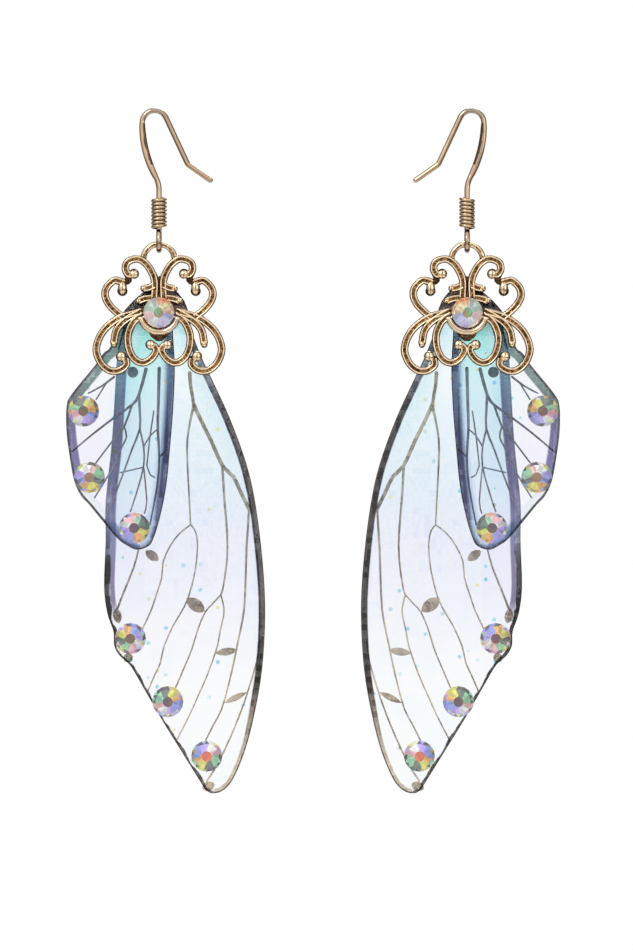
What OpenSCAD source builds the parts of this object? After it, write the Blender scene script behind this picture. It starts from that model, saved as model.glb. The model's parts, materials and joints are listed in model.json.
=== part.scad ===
/* [Earring pair] */
// Distance between the hanging axes of the two earrings
pair_spacing = 39.5; // [34:0.5:80]

/* [Ear wire] */
// Diameter of the round ear wire
wire_d = 0.7; // [0.6:0.05:0.85]
// Centreline radius of the closed bottom loop
loop_r = 1.2; // [1.1:0.05:1.5]
// Straight shank from the loop up to the first bend
shank_length = 5.3; // [4.6:0.1:8]
// Centreline radius of the bend above the shank
shoulder_r = 3.6; // [2:0.1:6]
// How far the front stretch leans away from the shank
lean_angle = 28; // [10:1:35]
// Centreline radius of the hammered front stretch
front_r = 14.8; // [12:0.1:20]
// Width of the hammered stretch, seen from the front
hammered_w = 0.9; // [0.7:0.05:1.2]
// Thickness of the hammered stretch
hammered_t = 0.55; // [0.4:0.05:0.7]
// Centreline radius of the crown over the ear
crown_r = 1.6; // [1.3:0.05:2.4]
// How far the crown turns
crown_angle = 155; // [140:1:170]
// Straight stretch from the crown to the kink
back_length = 6.4; // [4:0.1:9]
// Centreline radius of the kink
kink_r = 0.8; // [0.6:0.05:2]
// How far the kink turns outward
kink_angle = 30; // [0:1:45]
// Straight tail that goes through the ear
tail_length = 3.3; // [2.5:0.1:8]

/* [Coil sleeve] */
// Diameter of the coil's wire
coil_wire_d = 0.45; // [0.35:0.05:0.5]
// Number of turns
coil_turns = 8; // [4:1:12]
// Air between one turn and the next
turn_gap = 0.025; // [0.02:0.005:0.1]
// Radial air between the coil and the shank
coil_gap = 0.23; // [0.1:0.01:0.4]

/* [Filigree] */
// Width over the outer scrolls
filigree_w = 16.8; // [14:0.2:22]
// Height from the ring's top wire to the lowest scroll
filigree_h = 16.8; // [14:0.2:22]
// Thickness of the cast plate
filigree_t = 1.6; // [1:0.1:2]
// Width of a scroll's strand
strand_w = 0.85; // [0.6:0.05:1]
// Diameter of the balls that end the scrolls
ball_d = 1.3; // [1:0.1:1.6]
// Diameter of the wire of the hanging ring
ring_wire_d = 0.8; // [0.6:0.05:0.9]
// Centreline radius of the hanging ring
ring_r = 2; // [1.8:0.1:2.5]
// Air between the ring and the loop that it hangs in
hang_gap = 0.05; // [0.03:0.01:0.1]
// Width of the neck that joins the two halves above the centre stone
neck_w = 1.4; // [1:0.1:2]
// Height of the neck
neck_h = 1.6; // [1.4:0.1:2]
// Width of the link between the two inner scrolls below the centre stone
link_w = 0.7; // [0.5:0.1:1.2]
// Width of the rim around the lower half of the centre stone
rim_w = 0.6; // [0.4:0.05:1]
// Height of the rim above the plate
rim_h = 0.5; // [0.3:0.05:1]
// Air between the rim and the centre stone
rim_gap = 0.2; // [0.1:0.05:0.4]

/* [Stones] */
// Diameter of every flat-backed stone
stone_d = 4; // [3:0.1:4.8]
// Thickness of a stone from its flat back to its table
stone_t = 1.5; // [1.2:0.1:2.2]
// Height of a stone's round girdle
girdle_h = 0.3; // [0.2:0.05:0.5]
// Diameter of a stone's flat table
table_d = 1.5; // [1:0.1:2.5]

/* [Wings] */
// Width of the large wing
large_wing_w = 20.7; // [16:0.1:26]
// Length of the large wing from root to tip
large_wing_l = 66.5; // [50:0.5:85]
// Width of the small wing
small_wing_w = 13.9; // [11:0.1:17]
// Length of the small wing from root to tip
small_wing_l = 34.8; // [28:0.2:44]
// Thickness of the tinted film
film_t = 0.2; // [0.15:0.05:0.4]
// Thickness of the small wing's resin
small_resin_t = 0.4; // [0.3:0.05:0.8]
// Thickness of the large wing's resin
large_resin_t = 0.5; // [0.3:0.05:0.8]
// How far the resin stops short of the film's edge
resin_inset = 0.1; // [0.05:0.05:0.3]
// Thickness of the foil veins
foil_t = 0.05; // [0.05:0.01:0.1]
// Thickness of an adhesive pad
pad_t = 0.3; // [0.2:0.05:0.5]
// Diameter of an adhesive pad
pad_d = 3; // [2:0.1:3.6]

/* [Hidden] */
$fn = 32;
fine = 64;
curve_steps = 4;
vein_steps = 2;
coil_steps = 14;
coil_sides = 6;
seam = 0.01;
end_sides = 12;
crown_facets = 8;
hook_sides = 10;
joint_lap = 0.2;
joint_neck = 0.97;

// Heights on the ear wire, measured from the centre of the ring's top wire
loop_z = loop_r - wire_d / 2 - ring_wire_d / 2 - hang_gap;
shank_z = loop_z + loop_r;
crown_z = shank_z + shank_length + (shoulder_r + front_r) * sin(lean_angle);
hook_top = crown_z + crown_r + wire_d / 2;

// The coil stands on the loop's shoulder
coil_r = wire_d / 2 + coil_gap + coil_wire_d / 2;
coil_pitch = coil_wire_d + turn_gap;
shoulder_inner = wire_d / 2 + coil_gap;
coil_seat = loop_z + sqrt(pow(loop_r + wire_d / 2, 2) - pow(shoulder_inner, 2)) + turn_gap;
coil_z = coil_seat + coil_wire_d / 2;

// Patterns are drawn in millimetres below the ring, at these sizes, and stretched to the sizes above
filigree_pattern = [16.8, 16.8];
large_pattern = [20.7, 66.5];
small_pattern = [13.9, 34.8];
large_root_z = -4;
small_root_z = -4.4;
lowest_z = large_root_z - large_wing_l;
link_z = -(hook_top + lowest_z) / 2;

// Depths, from the filigree's middle plane towards the back
filigree_back = filigree_t / 2;
small_front = filigree_back + pad_t;
small_film_front = small_front + small_resin_t;
small_back = small_film_front + film_t;
large_front = small_back + pad_t;
large_film_front = large_front + large_resin_t;
large_back = large_film_front + film_t;

function on_filigree(p) =
    [p[0] * filigree_w / filigree_pattern[0], p[1] * filigree_h / filigree_pattern[1]];
function on_large(p) =
    [p[0] * large_wing_w / large_pattern[0],
     large_root_z + (p[1] - large_root_z) * large_wing_l / large_pattern[1]];
function on_small(p) =
    [p[0] * small_wing_w / small_pattern[0],
     small_root_z + (p[1] - small_root_z) * small_wing_l / small_pattern[1]];

stone_seat = on_filigree([0, -8.8]);
stone_r = stone_d / 2;
rim_r = stone_r + rim_gap + rim_w / 2;

// Stone centres along the wings' edges
small_stones = [[-9.7, -21.4], [-8.95, -29.9], [-3.2, -36.4]];
large_stones = [[-3.7, -50.6], [1.1, -58.7], [6.1, -65.7]];

large_outline = [
    [0, -4], [3.2, -7.2], [4.2, -11.2], [5.4, -14.4], [6.9, -17.6], [9.1, -22.4], [11.2, -28.2],
    [12.4, -33.6], [13.3, -41], [13.6, -47.6], [13.2, -54.6], [12.2, -60.4], [11, -65],
    [9.5, -68.6], [8.2, -70.1], [6.9, -70.5], [6, -70.1], [5.2, -68.9], [3.2, -65.7], [0.3, -61],
    [-2.4, -56.3], [-3.8, -54], [-5.1, -52.8], [-5.8, -51.5], [-5.9, -49.7], [-6.7, -47.3],
    [-7.1, -43.8], [-6.9, -38], [-6.9, -33], [-6.1, -25.3], [-5.6, -17], [-5.2, -12.9],
    [-3.6, -8], [0, -4]
];
small_outline = [
    [0, -4.4], [1.5, -8.2], [1.8, -12], [2, -16], [1.8, -21], [1.4, -26], [0.9, -31], [0.1, -35],
    [-0.8, -37.9], [-1.5, -38.8], [-2.9, -39.2], [-4.2, -38.6], [-5.6, -37.5], [-8.9, -33.5],
    [-10, -32.3], [-10.9, -30.4], [-11.5, -27.2], [-11.9, -24], [-11.9, -20.9], [-11.3, -19.3],
    [-8.3, -15.6], [-7.1, -13.9], [-6.2, -13], [-4.4, -8.4], [0, -4.4]
];

// A vein is its route and its width at the start and at the end
large_veins = [
    [[[3.9, -16.5], [4, -18.1], [4.4, -20.5], [4.1, -22]], 0.5, 0.35],
    [[[4.4, -20.5], [5.5, -22.9], [6.7, -25.3], [8.1, -28.4], [9.5, -29.8], [10.4, -31.7],
      [11.5, -33.9]], 0.5, 0.5],
    [[[4.1, -22], [3.6, -25], [3.6, -28], [3.8, -31.9], [4, -36]], 0.3, 0.2],
    [[[4, -36], [2.6, -37.1], [1.4, -38.7], [0.5, -40.7], [0.3, -42.8], [-0.4, -45],
      [-1.1, -47.1], [-2.2, -49.4]], 0.2, 0.2],
    [[[4, -36], [4.6, -36.8], [4.9, -38.6], [4.6, -41.9], [3.7, -45.4], [2.7, -47.4],
      [1.8, -48.9], [0.6, -51.6], [0.1, -53.8], [-0.6, -55.3], [-1.5, -57.4]], 0.2, 0.2],
    [[[8.1, -28.4], [8.2, -30.4], [8.4, -33.4], [8.7, -37], [8.7, -40.4], [8.2, -44],
      [7.9, -45]], 0.35, 0.2],
    [[[7.9, -45], [6.8, -46.2], [5.9, -47.2], [5, -49.3], [4.2, -51.9], [3.3, -54.1],
      [2.1, -56.9]], 0.2, 0.2],
    [[[7.9, -45], [8.2, -46.2], [8.3, -47.4], [7.8, -49.7], [7.4, -51.8], [6.2, -55.2],
      [5.1, -57.7], [3.9, -60.4], [2.2, -63.7]], 0.2, 0.2],
    [[[11.5, -33.9], [11.4, -36], [11.2, -39], [11.1, -42.4], [10.9, -46.8], [10.4, -49.6],
      [10, -51.5], [9.6, -53.5], [8.9, -56.5], [8, -59.7], [6.9, -61.8], [5.9, -63.8]], 0.3, 0.2],
    [[[12.9, -50.8], [12.5, -53.6], [11.4, -57.3], [10.7, -59.4], [9.6, -62.2], [8.3, -65.1],
      [7.1, -67.4], [6.1, -68.9]], 0.2, 0.25],
    [[[-2.7, -39.3], [-3.3, -41.5], [-4.6, -44.7], [-5.4, -46.8]], 0.2, 0.3]
];
// A leaf spot is its middle, its length, its width and its slant
large_leaves = [
    [[-0.95, -39.95], 2.1, 1.2, -37], [[4.65, -46.3], 2.9, 1.6, -36], [[-5.4, -47.7], 2, 1.1, 100],
    [[-4, -53.1], 1.2, 1.2, 0], [[8.6, -52.3], 3, 1, 8], [[9.8, -58.2], 3.2, 0.8, 26],
    [[6.3, -69.6], 1.7, 1.2, 20]
];
small_veins = [
    [[[-1.7, -16], [-2.6, -19.3], [-3.5, -20.6], [-5.6, -22.1], [-8.6, -24.4], [-11.2, -26.6]],
     0.45, 0.2],
    [[[-3.5, -20.6], [-4.5, -23.4], [-5.6, -24.7], [-8.1, -28]], 0.3, 0.2],
    [[[-4.5, -23.4], [-4.2, -24.7], [-4.8, -26], [-6.1, -28.9], [-8.3, -32.5]], 0.25, 0.2],
    [[[-2.6, -19.3], [-2.5, -21.4], [-2.5, -23.7], [-3.5, -26.3], [-4.7, -29.6], [-7, -35.6]],
     0.35, 0.2],
    [[[-2.5, -23.7], [-2, -26], [-2, -28.4], [-2.7, -31.2], [-3.7, -34.3]], 0.25, 0.2],
    [[[0, -15.9], [-0.1, -19.8], [-0.2, -23.7], [0, -27.3], [-0.3, -31.2], [-1.2, -36]], 0.45, 0.2],
    [[[-0.2, -23.7], [-1.2, -24.6], [-2, -26]], 0.2, 0.2],
    [[[0, -27.3], [1.2, -26.2]], 0.2, 0.2],
    [[[-0.7, -21.4], [-1.6, -28.4], [-0.6, -29.9]], 0.2, 0.2],
    [[[-5, -29.3], [-2, -28.6]], 0.2, 0.2],
    [[[-2, -28.6], [-1.6, -32.9], [-1.9, -34.5]], 0.2, 0.2],
    [[[-5.8, -17], [-7.4, -18.2], [-9.1, -19.1]], 0.3, 0.2],
    [[[-6.8, -17.8], [-8.1, -19.9]], 0.2, 0.2]
];
small_leaves = [[[-3.4, -16.4], 1.4, 1.4, 0]];

// One half of the filigree's scrolls, which the other half mirrors
scrolls = [
    [[-0.5, -7], [-0.4, -4.8], [-1, -3.4], [-1.8, -2.4], [-2.8, -1.9], [-4, -2.3], [-4.3, -3.2],
     [-3.9, -3.9], [-3.3, -3.8]],
    [[-4.2, -3.6], [-3.9, -4.6], [-4.8, -4.9], [-5.8, -4.7], [-6.7, -5.6], [-6.9, -6.6],
     [-6.5, -7.6], [-5.7, -8.5], [-4.6, -9.4]],
    [[-4.9, -4.7], [-4.7, -5.5], [-4.7, -6.2]],
    [[-2.2, -8.6], [-3.3, -8.9], [-4.9, -9.4], [-6.3, -10.3], [-7.3, -11.4], [-7.9, -12.7],
     [-8, -13.9], [-7.4, -15.3], [-6.3, -16.2], [-5.1, -16.2], [-4.2, -15.5], [-4.3, -14.7]],
    [[-2.4, -8.7], [-3.6, -9.3], [-4.8, -10.2], [-5.5, -11.2], [-5.8, -12.9]],
    [[-2, -9], [-3.2, -9.9], [-3.9, -11.3], [-4, -12.7], [-3.6, -14.1], [-2.8, -15],
     [-1.9, -15.2], [-1, -14.7], [-0.4, -13.8], [-0.5, -13.2], [-1, -12.9]],
    [[-0.6, -5.3], [-1.3, -5.6], [-2, -5.7]],
    [[-0.9, -6.9], [-1.8, -7], [-2.6, -7.3]]
];
balls = [[-3.2, -3.8], [-4.7, -6], [-4.9, -14.4], [-1.1, -12.9]];
neck_place = [0, -6.4];
link_place = [0, -13.4];
rim_start = 193;
rim_angle = 540 - 2 * rim_start;

PIECES = [
    "ear_wire", "coil", "filigree", "centre_stone", "front_glue_pad", "small_wing_resin",
    "small_wing_film", "small_wing_veins", "rear_glue_pad", "large_wing_resin", "large_wing_film",
    "large_wing_veins", "small_wing_stone_1", "small_wing_stone_2", "small_wing_stone_3",
    "large_wing_stone_1", "large_wing_stone_2", "large_wing_stone_3"
];

// A smooth curve through points
function blend(a, b, c, d, t) =
    0.5 * (2 * b + (c - a) * t + (2 * a - 5 * b + 4 * c - d) * t * t
           + (3 * b - a - 3 * c + d) * t * t * t);
function curve(points, steps = curve_steps) = [
    for (i = [0 : len(points) - 2], s = [0 : steps - 1])
        blend(points[max(i - 1, 0)], points[i], points[i + 1],
              points[min(i + 2, len(points) - 1)], s / steps),
    points[len(points) - 1]
];
function sideways(points, i) =
    let (along = points[min(i + 1, len(points) - 1)] - points[max(i - 1, 0)])
    [-along[1], along[0]] / norm(along);

// A line through points that tapers from one width to another, with round ends
module strand(points, start_w, end_w) {
    last = len(points) - 1;
    half = [for (i = [0 : last]) (start_w + (end_w - start_w) * i / last) / 2 * sideways(points, i)];
    for (i = [0 : last - 1])
        polygon([
            points[i] + half[i], points[i + 1] + half[i + 1],
            points[i + 1] - half[i + 1], points[i] - half[i]
        ]);
    translate(points[0]) circle(d = start_w, $fn = end_sides);
    translate(points[last]) circle(d = end_w, $fn = end_sides);
}

// A pointed oval leaf spot, where two arcs meet
module leaf(middle, length, width, slant) {
    bulge = (length * length + width * width) / (4 * width);
    translate(middle) rotate(slant) intersection() {
        translate([0, bulge - width / 2]) circle(r = bulge, $fn = fine);
        translate([0, width / 2 - bulge]) circle(r = bulge, $fn = fine);
    }
}

// Melts touching shapes into one outline
module melt() {
    offset(delta = -seam) offset(delta = seam) children();
}

// Stands a flat shape up between two depths, with its x across and its y upright
module upright(front, thickness) {
    translate([0, front + thickness, 0]) rotate([90, 0, 0]) linear_extrude(thickness) children();
}

// Heading 90 is straight up, and a positive turn goes towards the back of the hook
function arc_length(radius, angle) = radius * angle * PI / 180;
function chord(length, turn) =
    turn == 0 ? length : length * sin(abs(turn) / 2) / (abs(turn) * PI / 360);
function walk(steps, i = 0, at = [0, shank_z + shank_length], heading = 90) =
    i == len(steps) ? [[at, heading, 0]] : concat(
        [[at, heading, steps[i][2]]],
        walk(steps, i + 1,
             at + steps[i][0] * [cos(heading + steps[i][1] / 2), sin(heading + steps[i][1] / 2)],
             heading + steps[i][1]));

// The bent part of the hook, as stretches of length, turn, number of steps and hammering
hook_stretches = [
    [arc_length(shoulder_r, lean_angle), lean_angle, 4, 0],
    [arc_length(front_r, lean_angle), -lean_angle, 8, 1],
    [arc_length(crown_r, crown_angle), -crown_angle, 16, 0],
    [back_length, 0, 1, 0],
    [arc_length(kink_r, kink_angle), kink_angle, 4, 0]
];
hook_route = walk([
    for (stretch = hook_stretches, i = [0 : stretch[2] - 1])
        let (turn = stretch[1] / stretch[2])
        [chord(stretch[0] / stretch[2], turn), turn, stretch[3] * sin(180 * i / stretch[2])]
]);
hook_end = hook_route[len(hook_route) - 1];

// One ring of points around the wire, moved along it and shrunk
function wire_ring(station, shift, size) =
    let (at = station[0], ahead = [cos(station[1]), sin(station[1])], across = [-ahead[1], ahead[0]],
         half_w = size * (wire_d + (hammered_w - wire_d) * station[2]) / 2,
         half_t = size * (wire_d + (hammered_t - wire_d) * station[2]) / 2)
    [for (s = [0 : hook_sides - 1])
        let (around = 360 * s / hook_sides,
             flat = at + shift * ahead + half_w * cos(around) * across)
        [flat[0], -half_t * sin(around), flat[1]]];

// A closed tube through rings of points
module tube(rings, sides) {
    last = len(rings) - 1;
    walls = [
        for (i = [0 : last - 1], s = [0 : sides - 1])
            let (next = (s + 1) % sides, low = i * sides, high = low + sides)
            each [[low + s, high + s, high + next], [low + s, high + next, low + next]]
    ];
    start_cap = [for (s = [0 : sides - 1]) s];
    end_cap = [for (s = [sides - 1 : -1 : 0]) last * sides + s];
    polyhedron([for (ring = rings) each ring], concat(walls, [start_cap, end_cap]), convexity = 10);
}

// The bent part laps a little into the straight shank and the straight tail
module hook() {
    last = len(hook_route) - 1;
    tube(concat(
        [wire_ring(hook_route[0], -joint_lap, joint_neck)],
        [wire_ring(hook_route[0], 0, joint_neck)],
        [for (i = [1 : last - 1]) wire_ring(hook_route[i], 0, 1)],
        [wire_ring(hook_end, 0, joint_neck)],
        [wire_ring(hook_end, joint_lap, joint_neck)]), hook_sides);
}

module ear_wire() {
    color("#be966e") {
        translate([0, 0, loop_z]) rotate([0, 90, 0]) rotate_extrude()
            translate([loop_r, 0]) circle(d = wire_d);
        translate([0, 0, shank_z]) cylinder(h = shank_length, d = wire_d);
        hook();
        translate([hook_end[0][0], 0, hook_end[0][1]]) rotate([0, 90 - hook_end[1], 0]) {
            cylinder(h = tail_length, d = wire_d);
            translate([0, 0, tail_length]) sphere(d = wire_d);
        }
    }
}

module coil() {
    color("#8c7350") tube([
        for (i = [0 : coil_turns * coil_steps])
            [for (s = [0 : coil_sides - 1])
                let (turn = 360 * i / coil_steps, around = 360 * s / coil_sides,
                     out = coil_r + coil_wire_d / 2 * cos(around))
                [out * cos(turn), out * sin(turn),
                 coil_z + coil_pitch * i / coil_steps + coil_wire_d / 2 * sin(around)]]
    ], coil_sides);
}

module filigree_outline() {
    for (side = [0, 1]) mirror([side, 0]) {
        for (scroll = scrolls) strand(curve([for (p = scroll) on_filigree(p)]), strand_w, strand_w);
        for (ball = balls) translate(on_filigree(ball)) circle(d = ball_d);
    }
    translate(stone_seat) circle(d = stone_d + rim_gap, $fn = fine);
    translate(on_filigree(neck_place)) square([neck_w, neck_h], center = true);
    translate(on_filigree(link_place)) square([link_w, strand_w], center = true);
}

module filigree() {
    color("#be915a") {
        upright(-filigree_back, filigree_t) melt() filigree_outline();
        translate([0, 0, -ring_r]) rotate([90, 0, 0]) rotate_extrude(angle = 180)
            translate([ring_r, 0]) circle(d = ring_wire_d);
        translate([stone_seat[0], 0, stone_seat[1]]) rotate([90, 0, 0])
            rotate([0, 0, rim_start]) rotate_extrude(angle = rim_angle)
            translate([rim_r - rim_w / 2, -filigree_back]) square([rim_w, filigree_t + rim_h]);
    }
}

// A flat-backed stone with its back at the given depth
module stone(back, place) {
    color("#c8e1dc") translate([place[0], back, place[1]]) rotate([90, 0, 0]) {
        cylinder(h = girdle_h, d = stone_d);
        translate([0, 0, girdle_h])
            cylinder(h = stone_t - girdle_h, d1 = stone_d, d2 = table_d, $fn = crown_facets);
    }
}
module centre_stone() { stone(-filigree_back, stone_seat); }
module small_wing_stone(number) { stone(small_front, on_small(small_stones[number - 1])); }
module large_wing_stone(number) { stone(large_front, on_large(large_stones[number - 1])); }

module glue_pad(front) {
    color("#f0ebdc") upright(front, pad_t) translate(stone_seat) circle(d = pad_d);
}
module front_glue_pad() { glue_pad(filigree_back); }
module rear_glue_pad() { glue_pad(small_back); }

module small_wing_outline() { polygon(curve([for (p = small_outline) on_small(p)])); }
module large_wing_outline() { polygon(curve([for (p = large_outline) on_large(p)])); }

module small_wing_resin() {
    color("#bfe0e6") upright(small_front, small_resin_t)
        offset(delta = -resin_inset) small_wing_outline();
}
module small_wing_film() {
    color("#5fb4be") upright(small_film_front, film_t) small_wing_outline();
}
module small_wing_veins() {
    color("#8c8278") upright(small_back, foil_t) melt() {
        for (vein = small_veins) strand(curve([for (p = vein[0]) on_small(p)], vein_steps), vein[1], vein[2]);
        for (spot = small_leaves) leaf(on_small(spot[0]), spot[1], spot[2], spot[3]);
    }
}

module large_wing_resin() {
    color("#e1f0fa") upright(large_front, large_resin_t)
        offset(delta = -resin_inset) large_wing_outline();
}
module large_wing_film() {
    color("#c3d7eb") upright(large_film_front, film_t) large_wing_outline();
}
module large_wing_veins() {
    color("#b4a08c") upright(large_back, foil_t) melt() {
        for (vein = large_veins) strand(curve([for (p = vein[0]) on_large(p)], vein_steps), vein[1], vein[2]);
        for (spot = large_leaves) leaf(on_large(spot[0]), spot[1], spot[2], spot[3]);
    }
}

module left() { translate([-pair_spacing / 2, 0, link_z]) children(); }
module right() { mirror([1, 0, 0]) left() children(); }

left() ear_wire();  // left_ear_wire
left() coil();  // left_coil
left() filigree();  // left_filigree
left() centre_stone();  // left_centre_stone
left() front_glue_pad();  // left_front_glue_pad
left() small_wing_resin();  // left_small_wing_resin
left() small_wing_film();  // left_small_wing_film
left() small_wing_veins();  // left_small_wing_veins
left() rear_glue_pad();  // left_rear_glue_pad
left() large_wing_resin();  // left_large_wing_resin
left() large_wing_film();  // left_large_wing_film
left() large_wing_veins();  // left_large_wing_veins
left() small_wing_stone(1);  // left_small_wing_stone_1
left() small_wing_stone(2);  // left_small_wing_stone_2
left() small_wing_stone(3);  // left_small_wing_stone_3
left() large_wing_stone(1);  // left_large_wing_stone_1
left() large_wing_stone(2);  // left_large_wing_stone_2
left() large_wing_stone(3);  // left_large_wing_stone_3

right() ear_wire();  // right_ear_wire
right() coil();  // right_coil
right() filigree();  // right_filigree
right() centre_stone();  // right_centre_stone
right() front_glue_pad();  // right_front_glue_pad
right() small_wing_resin();  // right_small_wing_resin
right() small_wing_film();  // right_small_wing_film
right() small_wing_veins();  // right_small_wing_veins
right() rear_glue_pad();  // right_rear_glue_pad
right() large_wing_resin();  // right_large_wing_resin
right() large_wing_film();  // right_large_wing_film
right() large_wing_veins();  // right_large_wing_veins
right() small_wing_stone(1);  // right_small_wing_stone_1
right() small_wing_stone(2);  // right_small_wing_stone_2
right() small_wing_stone(3);  // right_small_wing_stone_3
right() large_wing_stone(1);  // right_large_wing_stone_1
right() large_wing_stone(2);  // right_large_wing_stone_2
right() large_wing_stone(3);  // right_large_wing_stone_3
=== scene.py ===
"""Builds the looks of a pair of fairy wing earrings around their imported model."""
import json
import math
import random

import bpy
import numpy as np
from bpy.props import FloatProperty, FloatVectorProperty, IntProperty, PointerProperty
from bpy.types import Operator, Panel, PropertyGroup
from mathutils import Matrix, Vector


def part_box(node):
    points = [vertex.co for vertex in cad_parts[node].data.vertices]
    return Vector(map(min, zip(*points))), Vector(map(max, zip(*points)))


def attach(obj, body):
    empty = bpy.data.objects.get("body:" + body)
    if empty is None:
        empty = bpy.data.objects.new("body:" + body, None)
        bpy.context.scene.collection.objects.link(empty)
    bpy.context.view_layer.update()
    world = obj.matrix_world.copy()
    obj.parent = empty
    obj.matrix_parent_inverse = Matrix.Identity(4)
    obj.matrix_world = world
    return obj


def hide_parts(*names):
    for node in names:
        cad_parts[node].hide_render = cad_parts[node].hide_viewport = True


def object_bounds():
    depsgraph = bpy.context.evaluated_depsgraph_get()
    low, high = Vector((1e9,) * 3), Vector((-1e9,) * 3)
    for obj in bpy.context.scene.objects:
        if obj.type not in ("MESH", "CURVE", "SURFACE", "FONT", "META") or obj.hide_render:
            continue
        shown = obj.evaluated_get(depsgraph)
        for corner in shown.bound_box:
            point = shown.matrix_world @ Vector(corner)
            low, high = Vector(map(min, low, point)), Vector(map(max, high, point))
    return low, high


bl_info = {
    "name": "Fairy wing earrings",
    "version": (1, 0, 0),
    "blender": (4, 5, 0),
    "location": "3D View > Sidebar > Earrings",
    "description": "Metal, crystal and resin finishes for a pair of fairy wing earrings",
    "category": "Object",
}

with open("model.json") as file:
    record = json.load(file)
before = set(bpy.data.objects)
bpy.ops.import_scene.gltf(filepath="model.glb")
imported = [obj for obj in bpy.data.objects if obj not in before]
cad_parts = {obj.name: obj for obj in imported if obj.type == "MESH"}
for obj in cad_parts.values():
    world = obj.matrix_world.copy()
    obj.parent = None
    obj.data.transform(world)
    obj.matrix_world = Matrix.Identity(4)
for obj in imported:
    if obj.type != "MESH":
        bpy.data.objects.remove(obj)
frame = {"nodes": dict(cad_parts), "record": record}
CAD_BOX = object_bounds()
RECORD = frame["record"]
JOINTS = {joint["name"]: joint for joint in RECORD["behaviour"]["joints"]}
BODIES = {node: body for body, nodes in RECORD["behaviour"]["bodies"].items() for node in nodes}

MM = 0.001
LINK = Vector(JOINTS["left_swing"]["pos_m"])
# Points of a mesh that are closer than this are one point
MERGE = 0.002 * MM


# Frame and mesh helpers


def at_link(x, z, y=0.0):
    """A place on the left earring, in millimetres right of, above and behind its link."""
    return LINK + Vector((x, y, z)) * MM


def deselect():
    if bpy.context.object and bpy.context.object.mode != "OBJECT":
        bpy.ops.object.mode_set(mode="OBJECT")
    bpy.ops.object.select_all(action="DESELECT")


def only(piece):
    """Makes a piece the one that operators act on."""
    deselect()
    piece.select_set(True)
    bpy.context.view_layer.objects.active = piece


def pick_faces(piece, test):
    """Opens a piece in edit mode with just the faces that pass the test selected."""
    only(piece)
    bpy.ops.object.mode_set(mode="EDIT")
    bpy.ops.mesh.select_mode(type="FACE")
    bpy.ops.mesh.select_all(action="DESELECT")
    bpy.ops.object.mode_set(mode="OBJECT")
    for face in piece.data.polygons:
        face.select = test(face)
    bpy.ops.object.mode_set(mode="EDIT")


def settle(piece):
    """Applies a piece's place, turn and size to its mesh."""
    only(piece)
    bpy.ops.object.transform_apply(location=True, rotation=True, scale=True)


def primitive(add, **options):
    """A new primitive at its size and place."""
    deselect()
    add(**options)
    piece = bpy.context.object
    settle(piece)
    return piece


def link(piece):
    bpy.context.scene.collection.objects.link(piece)


def shade(piece, angle):
    only(piece)
    bpy.ops.object.shade_smooth_by_angle(angle=math.radians(angle))


def merged(piece, then=None, **options):
    """Merges a piece's points that coincide, and takes one more step on the whole mesh."""
    only(piece)
    bpy.ops.object.mode_set(mode="EDIT")
    bpy.ops.mesh.select_all(action="SELECT")
    bpy.ops.mesh.remove_doubles(threshold=MERGE)
    if then:
        then(**options)
    bpy.ops.object.mode_set(mode="OBJECT")
    return piece


def copy_of(node, name, flat_faces=True):
    """A merged copy of a CAD node to work on, with its triangles made flat faces if asked."""
    piece = bpy.data.objects.new(name, frame["nodes"][node].data.copy())
    piece.data.materials.clear()
    link(piece)
    then = bpy.ops.mesh.dissolve_limited if flat_faces else None
    return merged(piece, then, angle_limit=math.radians(0.5))


def round_box(node):
    """The corners, the middle and the radius of a round CAD node."""
    low, high = (Vector(corner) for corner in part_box(node))
    return low, high, (low + high) / 2, (high.x - low.x) / 2


def joined(pieces, name):
    """Several pieces as one."""
    deselect()
    for piece in pieces:
        piece.select_set(True)
    bpy.context.view_layer.objects.active = pieces[0]
    bpy.ops.object.join()
    pieces[0].name = name
    return pieces[0]


def mirrored(piece, name):
    """The same piece for the right earring."""
    twin = bpy.data.objects.new(name, piece.data.copy())
    twin.data.transform(Matrix.Scale(-1, 4, (1, 0, 0)))
    twin.data.flip_normals()
    link(twin)
    return twin


def hand_over(piece, node, material):
    """Gives a finished piece its material, its body and the CAD node that it stands for."""
    piece.data.materials.clear()
    piece.data.materials.append(material)
    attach(piece, BODIES[node])
    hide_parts(node)


def hand_over_pair(piece, part, kind, material):
    """Hands over the left piece and its mirrored twin."""
    piece.name = f"left_{part}_{kind}"
    twin = mirrored(piece, f"right_{part}_{kind}")
    hand_over(piece, f"left_{part}", material)
    hand_over(twin, f"right_{part}", material)


def set_attribute(piece, name, values):
    """Stores one number for each vertex."""
    layer = piece.data.attributes.new(name, "FLOAT", "POINT")
    layer.data.foreach_set("value", np.asarray(values, dtype=np.float32))


def vertex_places(piece):
    """A piece's vertices as rows of numbers, in millimetres from the left link."""
    places = np.empty(len(piece.data.vertices) * 3)
    piece.data.vertices.foreach_get("co", places)
    return (places.reshape(-1, 3) - np.array(LINK)) / MM


def distance_to(places, line, closed=False):
    """How far each place is from a line of points across and up, in millimetres."""
    points = places[:, [0, 2]]
    ends = np.roll(line, -1, axis=0)
    best = np.full(len(points), np.inf)
    for start, end in list(zip(line, ends))[:None if closed else -1]:
        along = end - start
        share = np.clip((points - start) @ along / max(float(along @ along), 1e-12), 0, 1)
        best = np.minimum(best, np.linalg.norm(points - (start + share[:, None] * along), axis=1))
    return best


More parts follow.
